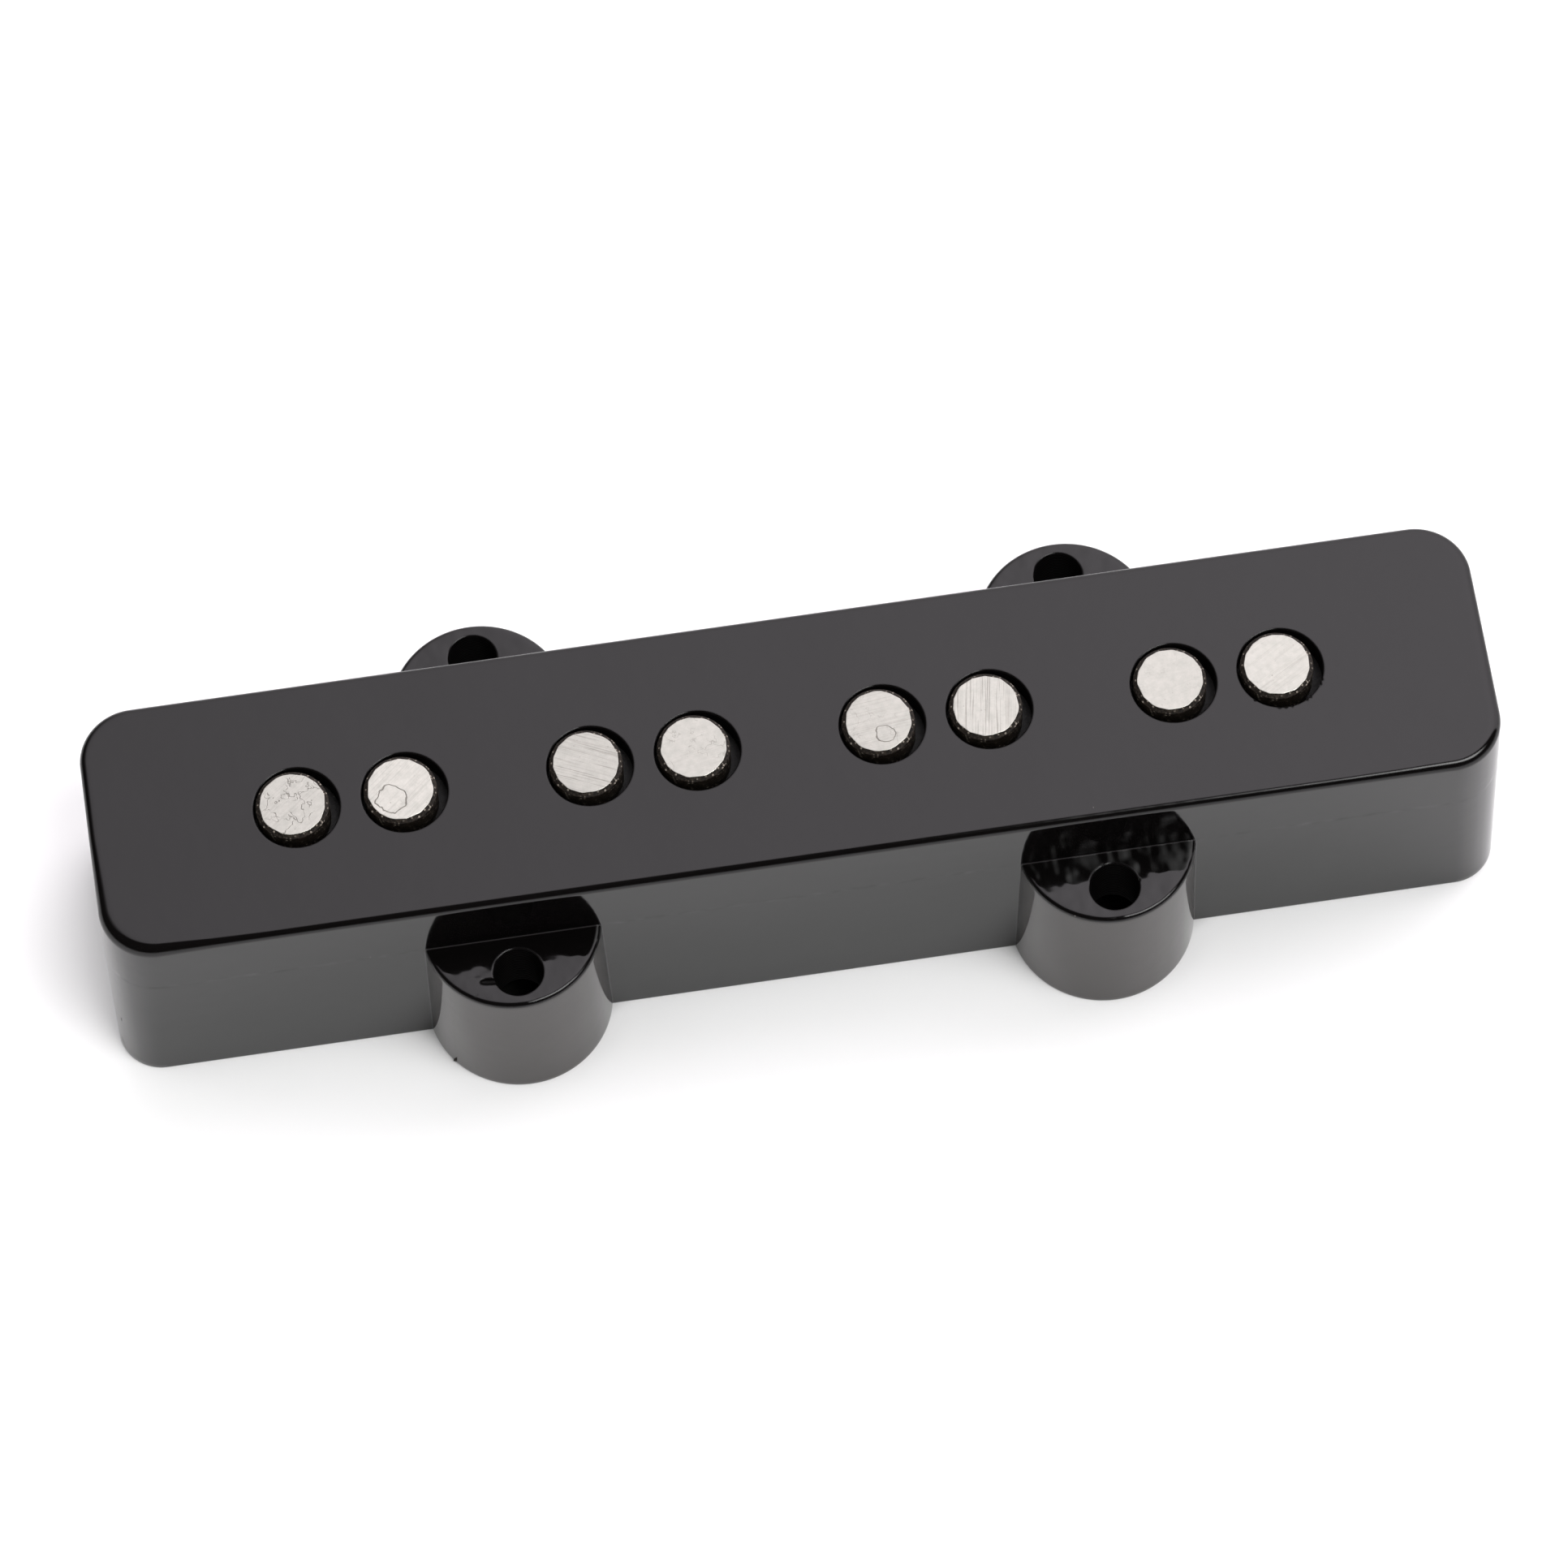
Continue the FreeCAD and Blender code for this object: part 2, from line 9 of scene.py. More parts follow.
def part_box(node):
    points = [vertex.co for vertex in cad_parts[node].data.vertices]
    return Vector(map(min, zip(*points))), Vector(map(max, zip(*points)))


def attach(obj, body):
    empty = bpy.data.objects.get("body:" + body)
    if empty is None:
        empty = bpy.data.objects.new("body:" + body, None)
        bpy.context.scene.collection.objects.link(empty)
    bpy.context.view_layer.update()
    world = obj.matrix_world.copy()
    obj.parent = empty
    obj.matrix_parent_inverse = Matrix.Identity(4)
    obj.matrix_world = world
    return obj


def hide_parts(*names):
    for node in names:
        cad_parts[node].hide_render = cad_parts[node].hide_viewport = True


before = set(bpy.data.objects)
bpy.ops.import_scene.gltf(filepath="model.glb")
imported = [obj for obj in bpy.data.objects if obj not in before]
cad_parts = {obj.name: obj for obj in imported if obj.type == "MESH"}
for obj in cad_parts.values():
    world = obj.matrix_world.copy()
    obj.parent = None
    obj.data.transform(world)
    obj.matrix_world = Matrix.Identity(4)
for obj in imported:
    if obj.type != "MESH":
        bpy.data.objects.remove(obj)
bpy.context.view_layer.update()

# A four-string bass pickup on a white sweep: polished black cover, eight ground magnet ends, and under
# the cover the wound coil between its fibre flanges. Meshes are written in millimetres and scaled once,
# when a piece is made. +X runs along the magnets, -Y is the front, +Z is up, as in the frame.

MM = 0.001

# ---------------------------------------------------------------- sizes in millimetres
EAR_SPACING = 38.92
EAR_OFFSET = 7.87
EAR_RADIUS = 6.12
EAR_HEIGHT = 12.7
EAR_ROOF = 5.0
EAR_WALL = 1.2
EAR_EDGE = 0.3
SCREW_SPACING = 22.6
DRAFT = 0.0227
SCREW_RADIUS = 1.6
STRING_PITCH = 19.05
PAIR_GAP = 7.0
POLE_RADIUS = 2.765
CORNER_RADIUS = 3.6
FOOT_RADIUS = 2.9
RIM_RADIUS = 0.46
SIDE_WALL = 1.5
TOP_WALL = 1.6
HOLE_EDGE = 0.1
FOOT_EDGE = 0.12
MAGNET_BEVEL = 0.22
RIM_WEAR_REACH = 9.0
RIM_WEAR_LEFT = 0.5
RIM_WEAR_RIGHT = 0.2
JUNCTION_FILLET = 0.16
RIM_STEPS = 14
FLAT_MARGIN = 0.25      # the ring just inside a rounded edge, which keeps the flat beyond it flat
FACE_UNDERCUT = 0.05    # how much smaller the hand-ground face is than the bevel would leave it
FACE_FLATS = 15
FACE_UNEVENNESS = 0.02
WIRE_TURN = 0.1
TAPE_THICKNESS = 0.13
TAPE_LAPPED = 0.24
TAPE_LAP_START = -9.0
TAPE_LAP_RISE = 1.6
TAPE_LAP_END = 6.0
POLE_DRILL_DEPTH = 4.0


def box_mm(node_name):
    low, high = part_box(node_name)
    return Vector(low) / MM, Vector(high) / MM


cover_low, cover_high = box_mm("cover")
COVER_LENGTH = cover_high.x - cover_low.x
COVER_WIDTH = 18.25
COVER_HEIGHT = cover_high.z


# ---------------------------------------------------------------- mesh work
def outline(length, width, radius, steps=24, along=24):
    """Points round a rounded rectangle about the origin, each with the direction that faces out there."""
    arcs = []
    for quarter, (right, far) in enumerate(((1, -1), (1, 1), (-1, 1), (-1, -1))):
        turns = [math.radians(90 * (quarter - 1 + step / steps)) for step in range(steps + 1)]
        middle = Vector((right * (length / 2 - radius), far * (width / 2 - radius)))
        arcs.append([(middle + radius * Vector((math.cos(a), math.sin(a))), Vector((math.cos(a), math.sin(a))))
                     for a in turns])
    points = []
    for arc, after in zip(arcs, arcs[1:] + arcs[:1]):
        points += arc
        (here, facing), (there, _) = arc[-1], after[0]
        points += [(here.lerp(there, step / along), facing) for step in range(1, along)]
    return points


def raised(points, z, reach=0.0):
    """The points of an outline as a ring at a height, moved out by reach: one number, or one for each."""
    reaches = reach if isinstance(reach, list) else [reach] * len(points)
    return [(*(point + facing * out), z) for (point, facing), out in zip(points, reaches)]


def rounded_rectangle(length, width, radius, z):
    return raised(outline(length, width, radius), z)


def circle(radius, z, x=0.0, y=0.0, sides=96):
    turns = [math.tau * step / sides for step in range(sides)]
    return [(x + radius * math.cos(turn), y + radius * math.sin(turn), z) for turn in turns]


def spindle(start, end, thickness, sides=6, blunt=False):
    """A sliver between two points, thickest in the middle: a scratch or a nick, or when blunt, a long dent."""
    start, end = Vector(start), Vector(end)
    run = end - start
    across = run.orthogonal().normalized()
    over = run.cross(across).normalized()
    shares = [0.02, 0.1, 0.3, 0.5, 0.7, 0.9, 0.98] if blunt else [0.5]
    points = [start]
    for share in shares:
        reach = thickness / 2 * (1 - (2 * share - 1) ** 4) ** 0.5
        for side in range(sides):
            turn = math.tau * side / sides
            points.append(start + run * share + (across * math.cos(turn) + over * math.sin(turn)) * reach)
    points.append(end)
    last = len(points) - 1
    faces = []
    for side in range(sides):
        beside = (side + 1) % sides
        faces.append((0, beside + 1, side + 1))
        faces.append((last, last - sides + side, last - sides + beside))
        for belt in range(len(shares) - 1):
            low, high = 1 + belt * sides, 1 + (belt + 1) * sides
            faces.append((low + side, low + beside, high + beside, high + side))
    return [tuple(point) for point in points], faces


def loft(rings, close_ends=True, around=False):
    """Points and faces of a skin over rings with the same number of points; around joins last to first."""
    count = len(rings[0])
    points = [point for ring in rings for point in ring]
    pairs = list(zip(range(len(rings)), range(1, len(rings))))
    if around:
        pairs.append((len(rings) - 1, 0))
    faces = []
    for low, high in pairs:
        for here in range(count):
            beside = (here + 1) % count
            faces.append((low * count + here, low * count + beside, high * count + beside, high * count + here))
    if close_ends:
        faces.append(tuple(reversed(range(count))))
        faces.append(tuple(range((len(rings) - 1) * count, len(rings) * count)))
    return points, faces


def joined(skins):
    """Several skins as one list of points and one of faces."""
    points, faces = [], []
    for skin_points, skin_faces in skins:
        start = len(points)
        points += skin_points
        faces += [tuple(corner + start for corner in face) for face in skin_faces]
    return points, faces


def make_piece(name, skin, materials, place=(0, 0, 0)):
    """An object from a skin in millimetres, its own origin at place."""
    points, faces = skin
    mesh = bpy.data.meshes.new(name)
    mesh.from_pydata([tuple(Vector(point) * MM) for point in points], [], faces)
    for material in materials:
        mesh.materials.append(material)
    for polygon in mesh.polygons:
        polygon.use_smooth = True
    piece = bpy.data.objects.new(name, mesh)
    piece.location = Vector(place) * MM
    bpy.context.scene.collection.objects.link(piece)
    return piece


def bake_modifiers(piece):
    """Keep what the modifiers make and drop the modifiers."""
    depsgraph = bpy.context.evaluated_depsgraph_get()
    mesh = bpy.data.meshes.new_from_object(piece.evaluated_get(depsgraph))
    piece.modifiers.clear()
    piece.data = mesh


def carve(piece, skin, operation="DIFFERENCE"):
    """Cut a skin out of a piece, or join it on."""
    tool = make_piece("tool", skin, [])
    step = piece.modifiers.new("carve", "BOOLEAN")
    step.operation = operation
    step.solver = "EXACT"
    step.object = tool
    bake_modifiers(piece)
    bpy.data.objects.remove(tool)


def settle_shading(piece, crease_degrees=32):
    """Crisp creases, round edges smooth, and flats that stay flat right up to their edges."""
    work = bmesh.new()
    work.from_mesh(piece.data)
    bmesh.ops.remove_doubles(work, verts=work.verts, dist=2e-7)
    bmesh.ops.dissolve_degenerate(work, edges=work.edges, dist=2e-7)
    for face in work.faces:
        face.smooth = True
    for edge in work.edges:
        edge.smooth = len(edge.link_faces) == 2 and edge.calc_face_angle(0) < math.radians(crease_degrees)
    work.to_mesh(piece.data)
    work.free()
    weigh = piece.modifiers.new("weigh", "WEIGHTED_NORMAL")
    weigh.keep_sharp = True
    weigh.weight = 60
    bake_modifiers(piece)


def rounding(radius, steps):
    """(inset, drop) along a quarter round, from the side wall up to the flat top."""
    angles = [math.radians(90 * step / steps) for step in range(steps + 1)]
    return [(radius * (1 - math.cos(angle)), radius * (1 - math.sin(angle))) for angle in angles]


# ---------------------------------------------------------------- materials
def linear(hex_colour):
    """sRGB hex to the linear red, green, blue that the shaders work in."""
    channels = [int(hex_colour[at:at + 2], 16) / 255 for at in (1, 3, 5)]
    return tuple(c / 12.92 if c <= 0.04045 else ((c + 0.055) / 1.055) ** 2.4 for c in channels) + (1.0,)


def per(size_mm):
    """Texture scale that makes one cell this many millimetres, on coordinates in metres."""
    return 1 / (size_mm * MM)


def wave_per(size_mm):
    """Wave texture scale that makes one band this many millimetres wide."""
    return math.tau / 20 / (size_mm * MM)


def add_node(tree, kind, inputs=None, **settings):
    """One node with its own settings; each input is a value or the socket that feeds it."""
    made = tree.nodes.new(kind)
    for name, value in settings.items():
        setattr(made, name, value)
    for name, value in (inputs or {}).items():
        if isinstance(value, bpy.types.NodeSocket):
            tree.links.new(value, made.inputs[name])
        else:
            made.inputs[name].default_value = value
    return made


def start_material(name):
    """An empty material with a Principled surface: (material, tree, shader, object coordinates)."""
    material = bpy.data.materials.new(name)
    material.use_nodes = True
    tree = material.node_tree
    tree.nodes.clear()
    shader = add_node(tree, "ShaderNodeBsdfPrincipled")
    add_node(tree, "ShaderNodeOutputMaterial", {"Surface": shader.outputs[0]})
    coordinates = add_node(tree, "ShaderNodeTexCoord").outputs["Object"]
    return material, tree, shader, coordinates


def set_shader(tree, shader, **inputs):
    """Values and sockets for the shader's inputs, named with _ for a space."""
    for name, value in inputs.items():
        socket = shader.inputs[name.replace("_", " ")]
        if isinstance(value, bpy.types.NodeSocket):
            tree.links.new(value, socket)
        else:
            socket.default_value = value


def ramp(tree, factor, low, high, low_value, high_value):
    """A straight change from one value to another as factor goes from low to high."""
    inputs = {"Value": factor, "From Min": low, "From Max": high, "To Min": low_value, "To Max": high_value}
    return add_node(tree, "ShaderNodeMapRange", inputs).outputs[0]


def blend_colours(tree, factor, first, second):
    return add_node(tree, "ShaderNodeMix", {0: factor, 6: first, 7: second}, data_type="RGBA").outputs[2]


def noise(tree, coordinates, cell_mm, detail=2.0, roughness=0.5):
    """Cloudy variation with features about this many millimetres across, around 0.5."""
    return add_node(tree, "ShaderNodeTexNoise", {"Vector": coordinates, "Scale": per(cell_mm), "Detail": detail,
                                                 "Roughness": roughness}).outputs["Fac"]


def specks(tree, coordinates, apart_mm, speck_mm):
    """1 on small round specks, 0 between them."""
    cells = add_node(tree, "ShaderNodeTexVoronoi", {"Vector": coordinates, "Scale": per(apart_mm)})
    size = speck_mm / apart_mm
    return ramp(tree, cells.outputs["Distance"], size * 0.6, size, 1.0, 0.0)


def maths(tree, operation, first, second=0.0):
    return add_node(tree, "ShaderNodeMath", {0: first, 1: second}, operation=operation).outputs[0]


def rotated(tree, coordinates, degrees, size_mm):
    """Coordinates turned about the vertical and then counted in cells of three sizes in millimetres."""
    size = tuple(side * MM for side in size_mm)
    turn = (0, 0, math.radians(degrees))
    return add_node(tree, "ShaderNodeMapping", {"Vector": coordinates, "Rotation": turn, "Scale": size},
                    vector_type="TEXTURE").outputs[0]


def relief(tree, height, depth_mm, under=None, strength=1.0):
    """Surface relief from a height, this many millimetres deep from 0 to 1, over the relief under it."""
    inputs = {"Height": height, "Strength": strength, "Distance": depth_mm * MM}
    if under is not None:
        inputs["Normal"] = under
    return add_node(tree, "ShaderNodeBump", inputs).outputs[0]


def moulded_abs():
    """Injection-moulded ABS, black all through, polished by the mould: a hard clear gloss with a slow
    waviness from shrinkage, a tighter ripple on the screw ears, and the dust that gloss black carries."""
    material, tree, shader, coordinates = start_material("moulded_black_abs")
    parts = add_node(tree, "ShaderNodeSeparateXYZ", {0: coordinates}).outputs
    height = parts["Z"]
    above = ramp(tree, height, (EAR_HEIGHT - 0.3) * MM, (EAR_HEIGHT - 0.2) * MM, 0.0, 1.0)
    below = ramp(tree, height, (EAR_HEIGHT + 0.1) * MM, (EAR_HEIGHT + 0.2) * MM, 1.0, 0.0)
    on_ears = maths(tree, "MULTIPLY", above, below)
    dust = specks(tree, coordinates, 1.5, 0.055)
    patches = ramp(tree, noise(tree, coordinates, 11.0), 0.56, 0.62, 0.0, 0.7)
    dusty = maths(tree, "MULTIPLY", dust, maths(tree, "MAXIMUM", patches, on_ears))
    from_middle = maths(tree, "ABSOLUTE", parts["Y"])
    wall = (COVER_WIDTH / 2 - DRAFT * EAR_HEIGHT) * MM
    in_corner = maths(tree, "MULTIPLY", ramp(tree, from_middle, wall + 0.03 * MM, wall + 0.09 * MM, 1.0, 0.0),
                      ramp(tree, maths(tree, "ABSOLUTE", maths(tree, "SUBTRACT", height, EAR_HEIGHT * MM)),
                           0.03 * MM, 0.08 * MM, 1.0, 0.0))
    along = maths(tree, "ABSOLUTE", parts["X"])
    from_ear = maths(tree, "ABSOLUTE", maths(tree, "SUBTRACT", along, EAR_SPACING / 2 * MM))
    in_corner = maths(tree, "MULTIPLY", in_corner, ramp(tree, from_ear, 5.6 * MM, 5.75 * MM, 0.16, 0.0))
    # Painted light: the ear sides, below their tops and away from the wall, are coloured lighter and mottled,
    # standing in for the bright card that they reflect.
    below_top = ramp(tree, height, (EAR_HEIGHT - 0.5) * MM, (EAR_HEIGHT - 0.3) * MM, 1.0, 0.0)
    off_wall = ramp(tree, from_middle, wall + 0.35 * MM, wall + 1.2 * MM, 0.0, 1.0)
    painted_ear_side_light = maths(tree, "MULTIPLY", below_top, off_wall)
    painted_light_mottle = ramp(tree, noise(tree, coordinates, 3.5, 2.0), 0.3, 0.7, 0.8, 1.0)
    plain = blend_colours(tree, maths(tree, "MULTIPLY", painted_ear_side_light, painted_light_mottle), linear("#080707"), linear("#2f2a28"))
    dusted = blend_colours(tree, dusty, plain, linear("#6e6b68"))
    colour = blend_colours(tree, in_corner, dusted, linear("#5f5b5d"))
    sheen = ramp(tree, noise(tree, coordinates, 5.0, 6.0), 0.3, 0.7, 0.05, 0.09)
    soft_corners = add_node(tree, "ShaderNodeBevel", {"Radius": JUNCTION_FILLET * MM}, samples=6).outputs[0]
    sink = relief(tree, noise(tree, coordinates, 9.0, 1.0), 0.03, soft_corners)
    ripple_strength = ramp(tree, on_ears, 0.0, 1.0, 0.1, 1.0)
    ripple = relief(tree, noise(tree, coordinates, 1.3, 1.0), 0.045, sink, ripple_strength)
    set_shader(tree, shader, Base_Color=colour, Roughness=sheen, IOR=1.4, Normal=ripple)
    return material


def drilled_abs():
    """The same plastic where a drill cut it: dull, with the fine rings of the flutes."""
    material, tree, shader, coordinates = start_material("drilled_black_abs")
    rings = add_node(tree, "ShaderNodeTexWave", {"Vector": coordinates, "Scale": wave_per(0.25),
                                                 "Distortion": 1.0, "Detail": 2.0},
                     bands_direction="Z").outputs["Fac"]
    colour = blend_colours(tree, rings, linear("#050404"), linear("#0b0909"))
    set_shader(tree, shader, Base_Color=colour, Roughness=0.55, Specular_IOR_Level=0.12,
               Normal=relief(tree, rings, 0.03))
    return material


def cast_alnico_skin():
    """Cast magnet alloy as it leaves the mould: an olive-black oxide skin, gritty, with small bright grains.
    The grains are drawn a little coarser than the real ones so that they show."""
    material, tree, shader, coordinates = start_material("cast_alnico_skin")
    grit = noise(tree, coordinates, 0.16, 5.0, 0.7)
    colour = blend_colours(tree, ramp(tree, grit, 0.45, 0.7, 0.0, 1.0), linear("#16110d"), linear("#3d352c"))
    grains = maths(tree, "MULTIPLY", specks(tree, coordinates, 0.24, 0.085),
                   ramp(tree, noise(tree, coordinates, 0.7), 0.42, 0.55, 0.0, 1.0))
    colour = blend_colours(tree, grains, colour, linear("#958d82"))
    pitted = relief(tree, grit, 0.06)
    set_shader(tree, shader, Base_Color=colour, Metallic=0.5, Roughness=0.5, Normal=pitted)
    return material


def ring_mark(tree, coordinates, x, y, radius):
    """1 on a thin wandering ring, where a shallow pool in the casting was ground flush."""
    wander = add_node(tree, "ShaderNodeTexNoise", {"Vector": coordinates, "Scale": per(0.8), "Detail": 2.0})
    strayed = add_node(tree, "ShaderNodeVectorMath", {0: wander.outputs["Color"], 1: (0.5, 0.5, 0.5)},
                       operation="SUBTRACT").outputs[0]
    bent = add_node(tree, "ShaderNodeVectorMath", {0: strayed, 1: (0.7 * MM, 0.7 * MM, 0.0), 2: coordinates},
                    operation="MULTIPLY_ADD").outputs[0]
    flat = add_node(tree, "ShaderNodeVectorMath", {0: bent, 1: (1, 1, 0)}, operation="MULTIPLY").outputs[0]
    away = add_node(tree, "ShaderNodeVectorMath", {0: flat, 1: (x * MM, y * MM, 0)}, operation="DISTANCE")
    off_ring = maths(tree, "ABSOLUTE", maths(tree, "SUBTRACT", away.outputs["Value"], radius * MM))
    return ramp(tree, off_ring, 0.015 * MM, 0.05 * MM, 1.0, 0.0)


def ground_alnico(number, grind_degrees, brightness, lines=0.3, veins=0.0, pits=0.1, pool=None):
    """Magnet alloy ground by hand on a belt: bright pale metal, fine lines one way, and where the casting
    was porous, dark veins, pits or the outline of a pool."""
    material, tree, shader, flat = start_material(f"ground_alnico_{number}")
    own_patch = (0.0137 * number, 0.0071 * number, 0.0)
    coordinates = add_node(tree, "ShaderNodeVectorMath", {0: flat, 1: own_patch}).outputs[0]
    fine_lines = rotated(tree, coordinates, grind_degrees, (4.0, 0.085, 4.0))
    fine = add_node(tree, "ShaderNodeTexNoise",
                    {"Vector": fine_lines, "Scale": 1.0, "Detail": 2.0}).outputs["Fac"]
    broad_bands = rotated(tree, coordinates, grind_degrees, (9.0, 0.4, 9.0))
    broad = add_node(tree, "ShaderNodeTexNoise",
                     {"Vector": broad_bands, "Scale": 1.0, "Detail": 2.0}).outputs["Fac"]
    scored = maths(tree, "MULTIPLY", ramp(tree, fine, 0.5, 0.62, 0.0, 1.0),
                   ramp(tree, broad, 0.42, 0.6, 0.3, 1.0))
    cloud = ramp(tree, noise(tree, coordinates, 0.5, 5.0, 0.7), 0.35, 0.65, 0.0, 1.0)
    dull, pale = (tuple(channel * brightness for channel in linear(tone)) for tone in ("#a2a29b", "#adaca5"))
    colour = blend_colours(tree, cloud, dull, pale)
    colour = blend_colours(tree, maths(tree, "MULTIPLY", scored, lines), colour, linear("#6c6861"))
    contour = maths(tree, "ABSOLUTE", maths(tree, "SUBTRACT", noise(tree, coordinates, 1.3, 3.0, 0.6), 0.5))
    vein = ramp(tree, contour, 0.004, 0.012, 1.0, 0.0)
    here = ramp(tree, noise(tree, coordinates, 1.7, 1.0), 0.47, 0.53, 0.0, 1.0)
    vein = maths(tree, "MULTIPLY", maths(tree, "MULTIPLY", vein, here), veins)
    pit = maths(tree, "MULTIPLY", specks(tree, coordinates, 0.45, 0.06),
                ramp(tree, noise(tree, coordinates, 0.9), 0.5, 0.6, 0.0, pits))
    marks = maths(tree, "MAXIMUM", vein, pit)
    if pool:
        marks = maths(tree, "MAXIMUM", marks, maths(tree, "MULTIPLY", ring_mark(tree, flat, *pool), 0.7))
    colour = blend_colours(tree, marks, colour, linear("#56524b"))
    cut = maths(tree, "SUBTRACT", 1.0, maths(tree, "MULTIPLY", scored, lines))
    worked = relief(tree, maths(tree, "SUBTRACT", cut, marks), 0.012)
    set_shader(tree, shader, Base_Color=colour, Metallic=1.0, Roughness=0.4, Normal=worked)
    return material


def vulcanised_fibre():
    """Sheet punched from paper fibre hardened with zinc chloride, dyed black: dull, with a faint fleck
    along the sheet."""
    material, tree, shader, coordinates = start_material("punched_vulcanised_fibre")
    laid = rotated(tree, coordinates, 8, (1.8, 0.12, 0.12))
    fibres = add_node(tree, "ShaderNodeTexNoise",
                      {"Vector": laid, "Scale": 1.0, "Detail": 5.0, "Roughness": 0.65}).outputs["Fac"]
    fleck = ramp(tree, fibres, 0.45, 0.75, 0.0, 1.0)
    colour = blend_colours(tree, fleck, linear("#141313"), linear("#2e2c2a"))
    colour = blend_colours(tree, specks(tree, coordinates, 0.9, 0.07), colour, linear("#4d4a46"))
    set_shader(tree, shader, Base_Color=colour, Roughness=ramp(tree, fibres, 0.3, 0.7, 0.5, 0.68),
               IOR=1.5, Normal=relief(tree, fibres, 0.03))
    return material


def enamelled_copper(name, turn_mm=0.0):
    """Copper magnet wire under a clear amber enamel: a red-brown metal with a hard coat. Wound turns are
    drawn about twice as coarse as the real 0.06 mm wire so that they show."""
    material, tree, shader, coordinates = start_material(name)
    cloud = ramp(tree, noise(tree, coordinates, 1.6, 3.0), 0.3, 0.7, 0.0, 1.0)
    colour = blend_colours(tree, cloud, linear("#7a3013"), linear("#a04a1e"))
    normal = relief(tree, noise(tree, coordinates, 0.25, 2.0), 0.01)
    if turn_mm:
        laid = add_node(tree, "ShaderNodeTexWave", {"Vector": coordinates, "Scale": wave_per(turn_mm),
                                                    "Distortion": 0.6, "Detail": 1.0, "Detail Scale": 0.4},
                        bands_direction="Z").outputs["Fac"]
        # Painted shade: the grooves between the turns are coloured dark.
        colour = blend_colours(tree, ramp(tree, laid, 0.0, 0.4, 0.8, 0.0), colour, linear("#2b0f06"))
        normal = relief(tree, laid, turn_mm / 2, normal)
    set_shader(tree, shader, Base_Color=colour, Metallic=0.85, Roughness=0.3, Coat_Weight=0.6,
               Coat_Roughness=0.12, Normal=normal)
    return material


def woven_cloth_tape():
    """Black cotton cloth tape: a plain weave, drawn at 0.42 mm a thread, matt and slightly fuzzy."""
    material, tree, shader, coordinates = start_material("woven_black_cloth_tape")
    thread = 0.42
    around = add_node(tree, "ShaderNodeVectorMath", {0: coordinates, 1: (1.0, 1.0, 0.0)},
                      operation="DOT_PRODUCT")
    across = add_node(tree, "ShaderNodeSeparateXYZ", {0: coordinates}).outputs["Z"]
    wefts = maths(tree, "SINE", maths(tree, "MULTIPLY", around.outputs["Value"], math.pi / (thread * MM)))
    warps = maths(tree, "SINE", maths(tree, "MULTIPLY", across, math.pi / (thread * MM)))
    weave = maths(tree, "ABSOLUTE", maths(tree, "MULTIPLY", wefts, warps))
    over = ramp(tree, maths(tree, "MULTIPLY", wefts, warps), -0.3, 0.3, 0.0, 1.0)
    fuzz = noise(tree, coordinates, 0.15, 4.0, 0.7)
    worn = blend_colours(tree, over, linear("#151415"), linear("#201f1f"))
    colour = blend_colours(tree, ramp(tree, fuzz, 0.55, 0.75, 0.0, 0.6), worn, linear("#46434a"))
    woven = relief(tree, weave, 0.07, relief(tree, fuzz, 0.04))
    set_shader(tree, shader, Base_Color=colour, Roughness=0.85, Sheen_Weight=0.25, Sheen_Roughness=0.5,
               Normal=woven)
    return material


def amber_film():
    """Thin polyimide film round the magnets: clear amber over the dark rods, smooth and slightly creased."""
    material, tree, shader, coordinates = start_material("wrapped_amber_film")
    crease = noise(tree, coordinates, 3.0, 3.0)
    thick = ramp(tree, crease, 0.3, 0.7, 0.0, 1.0)
    colour = blend_colours(tree, thick, linear("#7d4310"), linear("#a8641c"))
    set_shader(tree, shader, Base_Color=colour, Roughness=0.22, IOR=1.6, Normal=relief(tree, crease, 0.08))
    return material


def pressed_brass():
    """Brass tube rolled over at both ends: yellow metal, bright on the roll and browned by the iron."""
    material, tree, shader, coordinates = start_material("pressed_brass")
    browned = ramp(tree, noise(tree, coordinates, 0.8, 4.0), 0.42, 0.62, 0.0, 1.0)
    colour = blend_colours(tree, browned, linear("#cfae62"), linear("#8a6a35"))
    set_shader(tree, shader, Base_Color=colour, Metallic=1.0,
               Roughness=ramp(tree, browned, 0.0, 1.0, 0.22, 0.42),
               Normal=relief(tree, noise(tree, coordinates, 0.2, 2.0), 0.012))
    return material


def set_solder():
    """Tin-lead solder set in the eyelet: pale grey metal, frosted in places, with amber flux at its rim."""
    material, tree, shader, coordinates = start_material("set_tin_lead_solder")
    frost = noise(tree, coordinates, 0.35, 3.0)
    flux = ramp(tree, noise(tree, coordinates, 0.9, 2.0), 0.55, 0.66, 0.0, 0.8)
    metal = blend_colours(tree, ramp(tree, frost, 0.35, 0.65, 0.0, 1.0), linear("#c3c5c6"), linear("#94969a"))
    colour = blend_colours(tree, flux, metal, linear("#5c3d14"))
    set_shader(tree, shader, Base_Color=colour, Metallic=ramp(tree, flux, 0.0, 0.8, 1.0, 0.1),
               Roughness=ramp(tree, frost, 0.35, 0.65, 0.18, 0.4), Normal=relief(tree, frost, 0.02))
    return material


